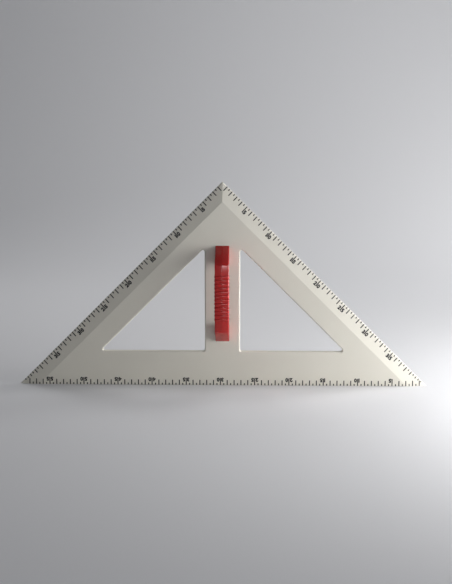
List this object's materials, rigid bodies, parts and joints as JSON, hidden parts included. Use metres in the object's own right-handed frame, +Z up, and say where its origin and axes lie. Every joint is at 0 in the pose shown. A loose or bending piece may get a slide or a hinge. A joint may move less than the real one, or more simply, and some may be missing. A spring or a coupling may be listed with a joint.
{
  "type": "blackboard set square",
  "caption": "Triangular 45 degree drawing board with two windows, bevelled legs, printed centimetre scales and a ribbed bow handle.",
  "frame": {"origin": "middle of the long edge's resting face, half way through the board's thickness", "axes": "+X along the long edge, to the right as seen from the printed side; +Y from the printed front to the back; +Z up, from the long edge to the right-angled corner"},
  "size_m": [0.594, 0.0433, 0.297],
  "materials": {
    "board_plastic": "satin moulded off-white plastic",
    "handle_plastic": "glossy red moulded plastic",
    "zinc_plated_steel": "bright zinc plating",
    "printed_ink": "black screen-printed ink"
  },
  "bodies": {
    "root": {"board": "board_plastic", "handle_left_shell": "handle_plastic", "handle_right_shell": "handle_plastic", "lower_screw": "zinc_plated_steel", "upper_screw": "zinc_plated_steel", "lower_nut": "zinc_plated_steel", "upper_nut": "zinc_plated_steel"}
  },
  "joints": []
}
